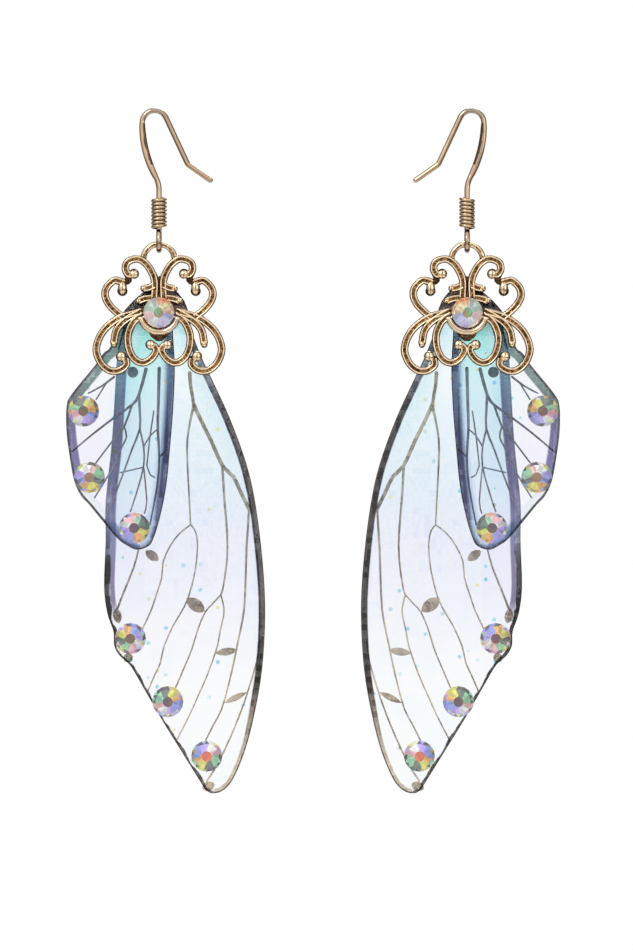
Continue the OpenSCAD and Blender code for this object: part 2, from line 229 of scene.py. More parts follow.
def smooth_line(points, steps):
    """A smooth curve through points across and up."""
    points = [np.array(point, dtype=float) for point in points]
    line = []
    for index in range(len(points) - 1):
        a, b, c = points[max(index - 1, 0)], points[index], points[index + 1]
        d = points[min(index + 2, len(points) - 1)]
        for step in range(steps):
            t = step / steps
            line.append(0.5 * (2 * b + (c - a) * t + (2 * a - 5 * b + 4 * c - d) * t ** 2
                               + (3 * b - a - 3 * c + d) * t ** 3))
    return np.array([*line, points[-1]])


# Material helpers


def shown(red, green, blue):
    """A colour given as it shows on a screen, from 0 to 255, as Blender's linear colour."""
    return tuple((c / 255) ** 2.2 for c in (red, green, blue)) + (1.0,)


def lit(colour, share):
    """A colour made darker or lighter by a share, at most up to full."""
    return tuple(min(c * share, 1.0) for c in colour[:3]) + (1.0,)


class Nodes:
    """The node tree of a new material or world, and short ways to add to it."""

    def __init__(self, owner):
        self.owner = owner
        owner.use_nodes = True
        self.tree = owner.node_tree
        self.tree.nodes.clear()

    def add(self, kind, links=None, **settings):
        """One node with its settings, and its inputs linked or set."""
        node = self.tree.nodes.new(kind)
        for name, value in settings.items():
            setattr(node, name, value)
        for name, value in (links or {}).items():
            if isinstance(value, bpy.types.NodeSocket):
                self.tree.links.new(value, node.inputs[name])
            else:
                node.inputs[name].default_value = value
        return node

    def ramp(self, value, stops):
        """Colours along a value from 0 to 1: rows of a place and a colour, or what shows it."""
        node = self.add("ShaderNodeValToRGB", {"Fac": value})
        while len(node.color_ramp.elements) < len(stops):
            node.color_ramp.elements.new(1.0)
        for element, (place, *colour) in zip(node.color_ramp.elements, stops):
            element.position = place
            element.color = shown(*colour) if len(colour) == 3 else colour[0]
        return node.outputs["Color"]


class Surface(Nodes):
    """A new material, and the patterns and layers that the finishes are made of."""

    def __init__(self, name):
        super().__init__(bpy.data.materials.new(name))

    def place(self):
        return self.add("ShaderNodeTexCoord").outputs["Object"]

    def height(self):
        """How far a point is above the link, in metres, on either earring."""
        split = self.add("ShaderNodeSeparateXYZ", {"Vector": self.place()})
        return self.math("SUBTRACT", split.outputs["Z"], LINK.z)

    def attribute(self, name):
        return self.add("ShaderNodeAttribute", attribute_name=name).outputs["Fac"]

    def math(self, operation, first, second=0.0):
        return self.add("ShaderNodeMath", {0: first, 1: second}, operation=operation).outputs[0]

    def step(self, value, low, high, to_low=0.0, to_high=1.0):
        """A smooth rise from one value to another."""
        return self.add("ShaderNodeMapRange", {
            "Value": value, "From Min": low, "From Max": high, "To Min": to_low, "To Max": to_high,
        }, interpolation_type="SMOOTHSTEP").outputs["Result"]

    def noise(self, scale, detail=3.0, roughness=0.5):
        return self.add("ShaderNodeTexNoise", {
            "Vector": self.place(), "Scale": scale, "Detail": detail, "Roughness": roughness,
        }).outputs["Fac"]

    def ragged(self, value, noise, low, high, spread, other=None):
        """A value that a noise moves down and up by a spread."""
        moved = self.step(noise, low, high, -spread, spread if other is None else other)
        return self.math("ADD", value, moved)

    def drifting(self, value, scale, spread):
        """A value that a broad noise moves over a spread."""
        drift = self.math("SUBTRACT", self.noise(scale, 2.0), 0.5)
        return self.math("ADD", value, self.math("MULTIPLY", drift, spread))

    def mix(self, share, first, second):
        node = self.add("ShaderNodeMix", {0: share, 6: first, 7: second}, data_type="RGBA")
        return node.outputs[2]

    def bump(self, height, distance, strength=1.0):
        return self.add("ShaderNodeBump", {
            "Height": height, "Distance": distance, "Strength": strength,
        }).outputs["Normal"]

    def finish(self, layer):
        self.add("ShaderNodeOutputMaterial", {"Surface": layer.outputs[0]})
        return self.owner

    def solid(self, colour, roughness, **others):
        """Finishes the material as one solid layer."""
        names = {name.replace("_", " "): value for name, value in others.items()}
        return self.finish(self.add("ShaderNodeBsdfPrincipled", {
            "Base Color": colour, "Roughness": roughness, **names}))


# Settings


def colour_setting(name, description, red, green, blue):
    return FloatVectorProperty(name=name, description=description, subtype="COLOR", size=4,
                               default=shown(red, green, blue), min=0, max=1)


def length_setting(name, description, default, low, high):
    return FloatProperty(name=name, description=description, default=default, min=low, max=high,
                         unit="LENGTH", precision=5)


def share_setting(name, description, default, low, high):
    return FloatProperty(name=name, description=description, default=default, min=low, max=high,
                         subtype="FACTOR")


class MetalSettings(PropertyGroup):
    """Colours and sizes of the metal pieces."""

    bright: colour_setting("Bright gold", "Colour of the rubbed rims", 246, 221, 184)
    worn: colour_setting("Worn gold", "Colour of the flat metal", 182, 142, 102)
    # Serves as real patina in the grooves and as painted shade on the sides, between the coil's
    # turns and on the ear wire's inner side
    patina_and_shade_colour: colour_setting(
        "Recess", "Dark patina in the grooves and on the sides", 66, 48, 36)
    wire: colour_setting("Ear wire", "Colour of the ear wire", 192, 162, 134)
    coil: colour_setting("Coil", "Colour of the coil sleeve", 208, 180, 144)
    rim_height: length_setting(
        "Rim height", "How far a strand's rims stand above its groove",
        0.34 * MM, 0.1 * MM, 0.5 * MM)
    coil_turns: IntProperty(
        name="Coil turns", description="Turns of the coil sleeve", default=8, min=4, max=12)


class WingSettings(PropertyGroup):
    """Sizes and colours of the wings."""

    grid: length_setting(
        "Grid", "Spacing of the grid that a wing's sheet is cut into",
        0.75 * MM, 0.3 * MM, 2 * MM)
    dome: length_setting(
        "Dome", "Width of the resin's rounded edge", 0.9 * MM, 0.2 * MM, 3 * MM)
    edge_height: share_setting(
        "Edge height", "Share of the resin's thickness that is left at its edge", 0.35, 0.1, 1)
    outer_margin: colour_setting(
        "Outer margin", "Colour of the narrow dark margin", 32, 30, 34)
    small_foil: colour_setting(
        "Small wing foil", "Colour of the foil of the small wing's veins", 122, 124, 138)
    foil: colour_setting("Foil", "Colour of the foil of the large wing's veins", 198, 180, 154)


class StoneSettings(PropertyGroup):
    """Cut of the flat-backed stones."""

    sides: IntProperty(
        name="Sides", description="Facets around a stone", default=16, min=8, max=32)
    girdle: share_setting(
        "Girdle", "Height of the girdle as a share of a stone's height", 0.16, 0.05, 0.5)
    table: share_setting(
        "Table", "Radius of the table as a share of a stone's radius", 0.34, 0.1, 0.8)


class StageSettings(PropertyGroup):
    """Floor, light and camera."""

    distance: length_setting("Distance", "From the camera to the earrings", 1.2, 0.5, 5)
    view_height: length_setting(
        "View height", "Height of what the picture takes in", 0.1218, 0.05, 0.5)
    floor_drop: length_setting(
        "Floor drop", "From the wings' tips down to the floor", 0.03, 0.0, 0.5)


class EarringSettings(PropertyGroup):
    """All settings of the earrings."""

    metal: PointerProperty(type=MetalSettings)
    wing: PointerProperty(type=WingSettings)
    stone: PointerProperty(type=StoneSettings)
    stage: PointerProperty(type=StageSettings)


# Ear wires


# Sizes of the ear wire, in millimetres and degrees
WIRE_R, LOOP_R, LOOP_Z = 0.35, 1.2, 0.4
SHANK_LENGTH, SHOULDER_R, LEAN, FRONT_R = 5.3, 3.6, 28, 14.8
CROWN_R, CROWN_TURN, BACK_LENGTH, KINK_R, KINK_TURN = 1.6, 155, 6.4, 0.8, 30
TAIL_LENGTH = 3.3
# How much wider and thinner than the round wire the hammered stretch is at most
WIDENED, THINNED = 0.9 / 2 / WIRE_R - 1, 0.55 / 2 / WIRE_R - 1
# Where the shank leaves the loop's top, and where the hammered stretch begins and ends
SHANK_START = 0.25
HAMMERED_LOW = LOOP_Z + LOOP_R + SHANK_LENGTH + SHOULDER_R * math.sin(math.radians(LEAN))
HAMMERED_HIGH = HAMMERED_LOW + FRONT_R * math.sin(math.radians(LEAN))
# The front of the hook is left of this, in millimetres from the shank
FRONT_X = 0.3


def hook_route():
    """Points along the ear wire from the end of its loop to the tail, as x, y, z and width."""
    points = []
    for step in range(1, 31):
        turn = math.radians(12 * step)
        points.append((0.0, -LOOP_R * math.sin(turn), LOOP_Z + LOOP_R * math.cos(turn), 1.0))
    x, z, heading = 0.0, LOOP_Z + LOOP_R + SHANK_START, 90.0
    points.append((x, 0.0, z, 1.0))
    stretches = (
        (SHANK_LENGTH - SHANK_START, 0, 4, 0), (math.radians(LEAN) * SHOULDER_R, LEAN, 8, 0),
        (math.radians(LEAN) * FRONT_R, -LEAN, 16, 1),
        (math.radians(CROWN_TURN) * CROWN_R, -CROWN_TURN, 24, 0), (BACK_LENGTH, 0, 4, 0),
        (math.radians(KINK_TURN) * KINK_R, KINK_TURN, 6, 0), (TAIL_LENGTH, 0, 3, 0),
    )
    for length, turn, steps, hammered in stretches:
        for step in range(1, steps + 1):
            half = math.radians(turn / steps / 2)
            chord = length / steps * (math.sin(half) / half if turn else 1)
            heading += turn / steps / 2
            x += chord * math.cos(math.radians(heading))
            z += chord * math.sin(math.radians(heading))
            heading += turn / steps / 2
            spread = hammered * math.sin(math.pi * step / steps) ** 0.5 if step < steps else 0
            points.append((x, 0.0, z, 1 + WIDENED * spread))
    return points


def line_curve(places):
    """A curve of straight lines through places."""
    deselect()
    bpy.ops.curve.primitive_nurbs_path_add(location=(0, 0, 0))
    piece = bpy.context.object
    piece.data.splines.clear()
    spline = piece.data.splines.new("POLY")
    spline.points.add(len(places) - 1)
    for point, place in zip(spline.points, places):
        point.co = (*place, 1)
    return piece, spline


def as_mesh(piece, **section):
    """Gives a curve its section and makes it a mesh."""
    for name, value in section.items():
        setattr(piece.data, name, value)
    only(piece)
    bpy.ops.object.convert(target="MESH")
    return bpy.context.object


def swept_wire(points, radius, name, sides=6):
    """A round wire along points, given in millimetres from the link with a width share."""
    piece, spline = line_curve([at_link(x, z, y) for x, y, z, _ in points])
    for point, (*_, width) in zip(spline.points, points):
        point.radius = width
    piece = as_mesh(piece, bevel_depth=radius * MM, bevel_resolution=sides, use_fill_caps=True)
    piece.name = name
    return merged(piece, bpy.ops.mesh.normals_make_consistent, inside=False)


def flat_curve(points, closed):
    """A flat curve of straight lines through points, in millimetres."""
    piece, spline = line_curve([(x * MM, y * MM, 0) for x, y in points])
    piece.data.dimensions = "2D"
    spline.use_cyclic_u = closed
    return piece


def stood_up(piece, y, **section):
    """Makes a flat curve a closed mesh, upright at the left link and so far behind it."""
    piece.rotation_euler.x = math.pi / 2
    piece.location = at_link(0, 0, y)
    piece = as_mesh(piece, **section)
    settle(piece)
    return merged(piece, bpy.ops.mesh.normals_make_consistent, inside=False)


def wire_metal(settings):
    """Plated wire, greyer over the crown, with painted shade on the inner side of the hammered
    stretch.
    """
    coat = Surface("ear_wire_gold")
    streaks = coat.noise(900.0, 4.0)
    blotches = coat.noise(160.0, 2.0)
    colour = coat.mix(
        coat.step(blotches, 0.4, 0.65), settings.wire, lit(settings.wire, 1.35))
    crown = coat.step(coat.height(), 15.6 * MM, 17.4 * MM, 0.0, 0.75)
    colour = coat.mix(crown, colour, shown(150, 142, 132))
    # Painted shade: the inner side of the hammered stretch takes the dark shade colour
    worn = coat.ragged(coat.attribute("inner"), streaks, 0.3, 0.7, 0.25)
    colour = coat.mix(coat.step(worn, 0.45, 0.7, 0.0, 0.9), colour, settings.patina_and_shade_colour)
    return coat.solid(colour, coat.step(streaks, 0.3, 0.7, 0.08, 0.2), Metallic=1.0,
                      Normal=coat.bump(streaks, 0.01 * MM, 0.5))


class EARRINGS_OT_ear_wires(Operator):
    """Bends the two ear wires, with their loops, hammered fronts and round tips"""

    bl_idname = "earrings.ear_wires"
    bl_label = "Ear wires"

    def execute(self, context):
        points = hook_route()
        wire = swept_wire(points, WIRE_R, "left_ear_wire_bend")
        places = vertex_places(wire)
        length = HAMMERED_HIGH - HAMMERED_LOW
        for vertex, (x, y, z) in zip(wire.data.vertices, places):
            if x < FRONT_X and HAMMERED_LOW < z < HAMMERED_HIGH:
                flat = math.sin(math.pi * (z - HAMMERED_LOW) / length) ** 0.5
                thinner = (1 + THINNED * flat) / (1 + WIDENED * flat)
                vertex.co.y = LINK.y + (vertex.co.y - LINK.y) * thinner
        set_attribute(wire, "inner", self.inner_side(places, points))
        tip = primitive(
            bpy.ops.mesh.primitive_uv_sphere_add, segments=24, ring_count=12,
            radius=WIRE_R * MM, location=at_link(points[-1][0], points[-1][2]))
        set_attribute(tip, "inner", [0.0] * len(tip.data.vertices))
        piece = joined([wire, tip], "left_ear_wire_bend")
        shade(piece, 50)
        hand_over_pair(piece, "ear_wire", "bend", wire_metal(context.scene.earrings.metal))
        return {"FINISHED"}

    def inner_side(self, places, points):
        """1 on the inner side of the hammered stretch, where shade is painted, else 0."""
        x, z = places[:, 0], places[:, 2]
        front = sorted((up, across) for across, _, up, _ in points
                       if across < FRONT_X and HAMMERED_LOW - 0.5 < up < HAMMERED_HIGH + 0.5)
        middle = np.interp(z, *zip(*front))
        along = (z - HAMMERED_LOW) / (HAMMERED_HIGH - HAMMERED_LOW)
        inside = np.clip((x - middle + 0.1) / 0.3, 0, 1)
        return np.where((x < FRONT_X) & (along > 0.2) & (along < 1), inside, 0.0)


# Coil sleeves


# Radius of the winding, of its wire, rise of a turn and height of its foot, in millimetres
COIL_R, COIL_WIRE_R, COIL_PITCH, COIL_Z = 0.805, 0.225, 0.475, 2.0874
TURN_STEPS = 20


def coil_metal(settings):
    """Antique wire in its own colour on the outside of each turn, with painted shade on the inner
    side and in the gaps between turns.
    """
    coat = Surface("coil_gold")
    grime = coat.noise(700.0, 5.0)
    outward = coat.attribute("outward")
    # Share of the wire's own colour; where it is low the turn is painted in shade
    rubbed = coat.step(coat.ragged(outward, grime, 0.3, 0.7, 0.15), 0.25, 0.85)
    colour = coat.mix(rubbed, settings.patina_and_shade_colour, settings.coil)
    return coat.solid(colour, coat.step(grime, 0.3, 0.7, 0.18, 0.34), Metallic=1.0,
                      Normal=coat.bump(grime, 0.01 * MM, 0.6))


class EARRINGS_OT_coils(Operator):
    """Winds the coil sleeves that sit on the shanks"""

    bl_idname = "earrings.coils"
    bl_label = "Coil sleeves"

    def execute(self, context):
        settings = context.scene.earrings.metal
        points = []
        for step in range(settings.coil_turns * TURN_STEPS + 1):
            # Both ends of the winding lie at the back
            turn = math.tau * (step / TURN_STEPS + 0.25)
            points.append((COIL_R * math.cos(turn), COIL_R * math.sin(turn),
                           COIL_Z + COIL_PITCH * step / TURN_STEPS, 1.0))
        piece = swept_wire(points, COIL_WIRE_R, "left_coil_winding", sides=3)
        places = vertex_places(piece)
        reach = np.hypot(places[:, 0], places[:, 1])
        set_attribute(piece, "outward", (reach - COIL_R) / COIL_WIRE_R)
        shade(piece, 60)
        hand_over_pair(piece, "coil", "winding", coil_metal(settings))
        return {"FINISHED"}


# Filigrees


# Middle lines of the scrolls on one half, in millimetres right of and above the link
SCROLLS = (
    ((-0.62, -7), (-0.56, -4.8), (-1.05, -3.4), (-1.8, -2.4), (-2.8, -1.9), (-4, -2.3),
     (-4.3, -3.2), (-3.9, -3.9), (-3.3, -3.8)),
    ((-4.45, -4.98), (-5.1, -4.74), (-5.8, -4.7), (-6.7, -5.6), (-6.9, -6.6), (-6.5, -7.6),
     (-5.7, -8.5), (-4.6, -9.4)),
    ((-2.2, -8.6), (-3.3, -8.9), (-4.9, -9.4), (-6.3, -10.3), (-7.3, -11.4), (-7.9, -12.7),
     (-8, -13.9), (-7.4, -15.3), (-6.3, -16.2), (-5.1, -16.2), (-4.2, -15.5), (-4.3, -14.7)),
    ((-2.4, -8.7), (-3.6, -9.3), (-4.8, -10.2), (-5.5, -11.2), (-5.8, -12.8)),
    ((-2, -9), (-3.2, -9.9), (-3.9, -11.3), (-4, -12.7), (-3.6, -14.1), (-2.8, -15),
     (-1.9, -15.2), (-1, -14.7), (-0.4, -13.8), (-0.5, -13.2), (-1, -12.9)),
    ((-0.6, -5.3), (-1.3, -5.6), (-2, -5.7)),
    ((-0.9, -6.9), (-1.8, -7), (-2.6, -7.3)),
)
# Balls and drops that end the scrolls: x, z, radius across and radius up, in millimetres
BALLS = (
    (-3.2, -3.85, 0.64, 0.6), (-4.68, -5.65, 0.58, 0.88), (-4.85, -14.4, 0.66, 0.66),
    (-1.08, -12.9, 0.64, 0.64), (-2.0, -5.66, 0.42, 0.34), (-2.62, -7.28, 0.42, 0.34),
    (-5.78, -12.82, 0.43, 0.42),
)
BALL_Y = -0.5
SCROLL_HALF_WIDTH = 0.45
# How far a scroll's two rims reach into the web, in millimetres
ROOTED = 0.06
# The round rim around the centre stone: its middle below the link, radius, outside and top end
RIM_DROP, RIM_R, RIM_OUTSIDE, RIM_TOP = 2.0, 2.0, 2.6, -1.75
# The collar: its place outside the stone, its wire's radius, height and flatness, its first
# angle, and its step and count of steps, in millimetres and degrees
COLLAR_GAP, COLLAR_R, COLLAR_Y, COLLAR_FLAT = 0.46, 0.43, -0.6, 0.5
COLLAR_START, COLLAR_STEP, COLLAR_STEPS = -164, 9.25, 16
# Half of the wedge below the collar, right of and above the link
WEDGE = ((-1.35, -11.15), (-0.95, -11.85), (-0.3, -12.35))
# The profile of half a scroll: shares of its half width and of its height
SCROLL_PROFILE = (
    (1.1, 0.0), (1.08, 0.2), (1.0, 0.5), (0.9, 0.84), (0.72, 1.0), (0.5, 0.93), (0.38, 0.68),
    (0.3, 0.46),
)
# How far the stone's rim is sunk, and the insets and lifts that round it, in millimetres
RIM_SUNK, ROUND_STEPS = 0.16, ((0.09, 0.0992), (0.105, 0.048), (0.105, 0.0128))


def cast_gold(settings):
    """Antique casting: bright rubbed rims, warm flats, dark textured patina in the grooves, and
    painted shade on the sides and the sunk web.
    """
    coat = Surface("antique_cast_gold")
    patina_and_shade = coat.attribute("patina_and_shade")
    speckle = coat.noise(4200.0, 3.0, 0.6)
    cloud = coat.noise(700.0, 3.0)
    # Patina, painted shade and noise grime together set how dark the metal is
    patina_shade_and_grime = coat.ragged(patina_and_shade, speckle, 0.36, 0.64, 0.3, 0.2)
    patina_shade_and_grime = coat.ragged(patina_shade_and_grime, cloud, 0.3, 0.7, 0.06)
    colour = coat.ramp(patina_shade_and_grime, (
        (0.0, settings.bright), (0.3, settings.bright), (0.46, settings.worn),
        (0.72, lit(settings.worn, 0.42)), (1.0, settings.patina_and_shade_colour)))
    grain = coat.math("ADD", speckle, cloud)
    return coat.solid(colour, coat.step(patina_shade_and_grime, 0.0, 1.0, 0.16, 0.5), Metallic=1.0,
                      Normal=coat.bump(grain, 0.02 * MM, 0.6))


class EARRINGS_OT_filigrees(Operator):
    """Casts the filigree connectors, with raised rims, grooved strands and ball ends"""

    bl_idname = "earrings.filigrees"
    bl_label = "Filigrees"

    def execute(self, context):
        settings = context.scene.earrings.metal
        web = copy_of("left_filigree", "web", flat_faces=False)
        rim_front, plate_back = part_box("left_filigree")[0][1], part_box("left_filigree")[1][1]
        self.sink(web, rim_front, RIM_SUNK * MM)
        for inset, lift in ROUND_STEPS:
            bpy.ops.mesh.inset(thickness=inset * MM, depth=lift * MM, use_even_offset=False)
        self.sink(web, -plate_back, settings.rim_height)
        bpy.ops.object.mode_set(mode="OBJECT")
        # The rim's groove takes patina and its front is bright, while its sides and back take
        # painted shade; elsewhere the raised fronts are bright, the back is mid, and the sunk web
        # and all sides take painted shade
        patina_and_shade = []
        for x, y, z in vertex_places(web):
            reach = math.hypot(x, z + RIM_DROP)
            if z > RIM_TOP and reach < RIM_OUTSIDE:
                groove = abs(reach - RIM_R) < 0.12
                patina_and_shade.append(0.66 if groove else 0.1 if y < 0.05 else 0.9)
            else:
                patina_and_shade.append(0.0 if y < -0.9 else 0.5 if y > 0.7 else 1.0)
        set_attribute(web, "patina_and_shade", patina_and_shade)
        profile = self.profile(settings)
        pieces = [web, self.wedge(), self.collar()]
        for side in (1, -1):
            for order, line in enumerate(SCROLLS):
                pieces.append(self.scroll(line, side, order, profile))
            pieces += [self.ball(*ball, side) for ball in BALLS]
        bpy.data.objects.remove(profile)
        piece = joined(pieces, "left_filigree_casting")
        shade(piece, 50)
        hand_over_pair(piece, "filigree", "casting", cast_gold(settings))
        return {"FINISHED"}

    def sink(self, web, front, depth):
        """Moves a flat front back, and leaves it selected in edit mode."""
        pick_faces(web, lambda f: f.normal.y < -0.99 and abs(f.center.y - front) < 0.01 * MM)
        bpy.ops.transform.translate(value=(0, depth, 0))

    def wedge(self):
        """The web that ties the rim to the inner scrolls' balls, painted dark all over as shade.
        """
        points = [*WEDGE, *[(-x, z) for x, z in reversed(WEDGE)]]
        piece = stood_up(
            flat_curve(points, closed=True), 0.1, fill_mode="BOTH", extrude=0.3 * MM,
            bevel_depth=0.08 * MM, bevel_resolution=2)
        # Painted shade all over
        set_attribute(piece, "patina_and_shade", [1.0] * len(piece.data.vertices))
        return piece

    def collar(self):
        """The thick round rim that cups the centre stone from below."""
        _, _, middle, radius = round_box("left_centre_stone")
        middle, radius = (middle - LINK) / MM, radius / MM + COLLAR_GAP
        points = []
        for step in range(COLLAR_STEPS + 1):
            turn = math.radians(COLLAR_START + COLLAR_STEP * step)
            points.append((middle.x + radius * math.cos(turn), middle.z + radius * math.sin(turn)))
        piece = stood_up(
            flat_curve(points, closed=False), COLLAR_Y, bevel_depth=COLLAR_R * MM,
            bevel_resolution=5, use_fill_caps=True)
        back = LINK.y + COLLAR_Y * MM
        for vertex in piece.data.vertices:
            vertex.co.y = back + (vertex.co.y - back) * COLLAR_FLAT
        # Bright in front, with painted shade on its back half
        set_attribute(piece, "patina_and_shade", [
            0.0 if y < COLLAR_Y else 0.9 for _, y, _ in vertex_places(piece)])
        return piece

    def profile(self, settings):
        """The section of a scroll: two round rims with a groove between them."""
        height = settings.rim_height / MM + ROOTED
        half = [(across * SCROLL_HALF_WIDTH, up * height) for across, up in SCROLL_PROFILE]
        return flat_curve(half + [(-across, up) for across, up in reversed(half)], closed=True)

    def scroll(self, line, side, order, profile):
        """One scroll: its section swept along its middle line."""
        route = smooth_line([(side * x, z) for x, z in line], 6)
        # The later ones lie a little further forward, so that crossing scrolls don't share faces
        piece = stood_up(
            flat_curve(route, closed=False), -0.4 - 0.01 * order, bevel_mode="OBJECT",
            bevel_object=profile, use_fill_caps=True)
        out = distance_to(vertex_places(piece), route) / SCROLL_HALF_WIDTH
        # Painted shade on the side walls, patina in the groove, and bright rims between
        edge = np.where(out > 0.87, 1.0, 0.0)
        set_attribute(piece, "patina_and_shade", np.where(out < 0.35, 0.82, edge))
        return piece

    def ball(self, x, z, across, up, side):
        """A drop on the end of a scroll."""
        ball = primitive(
            bpy.ops.mesh.primitive_uv_sphere_add, segments=24, ring_count=14, radius=1,
            location=at_link(side * x, z, BALL_Y), scale=(across * MM, 0.55 * MM, up * MM))
        # Rubbed bright in front, with a streak of patina down the middle and painted shade over
        # the sides and back
        set_attribute(ball, "patina_and_shade", [
            0.9 if y > BALL_Y - 0.1 else 0.7 if abs(x_now - side * x) < 0.05 * across else 0.0
            for x_now, y, _ in vertex_places(ball)])
        return ball


# Stones


FACET_TONES = [shown(*tone) for tone in (
    (140, 208, 168), (176, 160, 240), (222, 222, 104), (232, 180, 186), (136, 156, 236),
    (90, 112, 108), (232, 236, 236), (228, 172, 96),
)]
STONES = [f"{size}_wing_stone_{number}" for size in ("small", "large") for number in (1, 2, 3)]
TABLE_TONES = {
    "centre_stone": shown(122, 112, 40), "small_wing_stone_1": shown(80, 34, 32),
    "small_wing_stone_2": shown(126, 86, 58), "small_wing_stone_3": shown(46, 30, 20),
    "large_wing_stone_1": shown(82, 34, 30), "large_wing_stone_2": shown(60, 40, 34),
    "large_wing_stone_3": shown(222, 84, 54),
}


def crystal():
    """Foil-backed cut glass with an iridescent coat."""
    coat = Surface("iridescent_crystal")
    tone = coat.add("ShaderNodeAttribute", attribute_name="tone").outputs["Color"]
    swirl = coat.noise(900.0, 2.0)
    sheen = coat.ramp(coat.step(swirl, 0.3, 0.7), (
        (0.0, 190, 235, 215), (0.35, 250, 240, 200), (0.65, 250, 205, 210),
        (1.0, 205, 205, 250)))
    roughness = coat.step(swirl, 0.3, 0.7, 0.06, 0.14)
    return coat.solid(coat.mix(0.15, tone, sheen), roughness, Metallic=0.15, IOR=1.55)


class EARRINGS_OT_stones(Operator):
    """Cuts the centre stones and the stones along the wings' edges"""

    bl_idname = "earrings.stones"
    bl_label = "Stones"

    def execute(self, context):
        settings = context.scene.earrings.stone
        glass = crystal()
        for order, part in enumerate(["centre_stone", *STONES]):
            piece = self.cut(f"left_{part}", settings)
            self.tint(piece, part, order, settings)
            hand_over_pair(piece, part, "crystal", glass)
        return {"FINISHED"}

    def cut(self, node, settings):
        """A round blank whose front is stepped in to the crown's facets and the table."""
        low, high, middle, radius = round_box(node)
        depth = high.y - low.y
        girdle = depth * settings.girdle
        piece = primitive(
            bpy.ops.mesh.primitive_cylinder_add, vertices=settings.sides, radius=radius,
            depth=girdle, rotation=(math.pi / 2, 0, 0),
            location=(middle.x, high.y - girdle / 2, middle.z))
        crown = depth - girdle
        pick_faces(piece, lambda f: f.normal.y < -0.9)
        # Narrow lower facets, broad main facets and a thin break around the table
        inward = radius * (1 - settings.table)
        for width, height in ((0.3, 0.42), (0.55, 0.48), (0.15, 0.1)):
            bpy.ops.mesh.inset(thickness=inward * width, depth=crown * height)
            bpy.ops.transform.rotate(
                value=math.pi / settings.sides, orient_axis="Y",
                center_override=(middle.x, low.y, middle.z))
        bpy.ops.mesh.select_all(action="SELECT")
        bpy.ops.mesh.quads_convert_to_tris(quad_method="BEAUTY", ngon_method="BEAUTY")
        bpy.ops.object.mode_set(mode="OBJECT")
        return piece

    def tint(self, piece, part, order, settings):
        """Gives each facet the tone that its coating flashes."""
        draw = random.Random(order + 3)
        shift = draw.randrange(len(FACET_TONES))
        _, _, middle, radius = round_box(f"left_{part}")
        layer = piece.data.attributes.new("tone", "FLOAT_COLOR", "CORNER")
        for face in piece.data.polygons:
            away = face.center - middle
            reach = math.hypot(away.x, away.z) / radius
            sector = int((math.atan2(away.z, away.x) + math.pi) / math.tau * 8) % 8
            tone = FACET_TONES[(sector * 3 + shift) % len(FACET_TONES)]
            if face.normal.y > 0.9:
                tone = shown(176, 176, 182)
            elif face.normal.y < -0.97 and reach < settings.table:
                tone = TABLE_TONES[part]
                if part == "centre_stone" and away.z > 0:
                    tone = shown(94, 166, 112)
            elif part == "centre_stone":
                above = away.z > 0.55 * radius and away.x > -0.1 * radius
                paler = tuple(0.65 * c + 0.32 for c in tone[:3])
                tone = shown(236, 150, 90) if above else paler
            elif reach > 0.75:
                chance, other = draw.random(), FACET_TONES[draw.randrange(len(FACET_TONES))]
                # Some outer facets take a painted shadow, the dark crescent by the girdle; others
                # take another coating tone
                tone = shown(70, 70, 84) if chance < 0.18 else other if chance < 0.5 else tone
            value = lit(tone, draw.uniform(0.62, 1.12))
            for corner in face.loop_indices:
                layer.data[corner].color = value


# Wings


def outline_of(piece):
    """The edge of a flat sheet as points across and up, in order, in millimetres."""
    front = max((f for f in piece.data.polygons if f.normal.y < -0.99), key=lambda f: f.area)
    return vertex_places(piece)[list(front.vertices)][:, [0, 2]]


def place_across(places, outline):
    """For each place, where it is across the wing, from -1 at its left edge to 1 at its right."""
    left, right = np.full(len(places), np.inf), np.full(len(places), -np.inf)
    for (x0, z0), (x1, z1) in zip(outline, np.roll(outline, -1, axis=0)):
        if abs(z1 - z0) < 1e-9:
            continue
        share = (places[:, 2] - z0) / (z1 - z0)
        crossing = np.where((share > -0.001) & (share < 1.001), x0 + share * (x1 - x0), np.nan)
        left, right = np.fmin(left, crossing), np.fmax(right, crossing)
    width = np.maximum(right - left, 0.01)
    across = (2 * places[:, 0] - left - right) / width
    return np.clip(np.nan_to_num(across, nan=0.0, posinf=1.0, neginf=-1.0), -1, 1)


def cut_into_grid(piece, spacing):
    """Cuts a flat sheet along evenly spaced lines, so that its front can be domed and tinted."""
    only(piece)
    low, high = (Vector(corner) for corner in (piece.bound_box[0], piece.bound_box[6]))
    bpy.ops.object.mode_set(mode="EDIT")
    for axis in (0, 2):
        count = int((high[axis] - low[axis]) / spacing)
        normal = Vector((axis == 0, 0, axis == 2))
        for step in range(1, count + 1):
            place = Vector((0, 0, 0))
            place[axis] = low[axis] + (high[axis] - low[axis]) * step / (count + 1)
            bpy.ops.mesh.select_all(action="SELECT")
            bpy.ops.mesh.bisect(plane_co=place, plane_no=normal)
    bpy.ops.object.mode_set(mode="OBJECT")


def wing_sheet(node, name, settings, domed):
    """A wing's layer with its distance from the edge stored, and its front domed if asked."""
    piece = copy_of(node, name)
    outline = outline_of(piece)
    cut_into_grid(piece, settings.grid)
    places = vertex_places(piece)
    distance = distance_to(places, outline, closed=True)
    set_attribute(piece, "edge", distance)
    set_attribute(piece, "across", place_across(places, outline))
    if domed:
        low, high = (corner[1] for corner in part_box(node))
        reach = np.clip(distance / (settings.dome / MM), 0, 1)
        share = settings.edge_height + (1 - settings.edge_height) * np.sin(reach * math.pi / 2)
        middle = (low + high) / 2
        for vertex, height in zip(piece.data.vertices, share):
            if vertex.co.y < middle:
                vertex.co.y = high - (high - low) * height
    shade(piece, 50)
    return piece


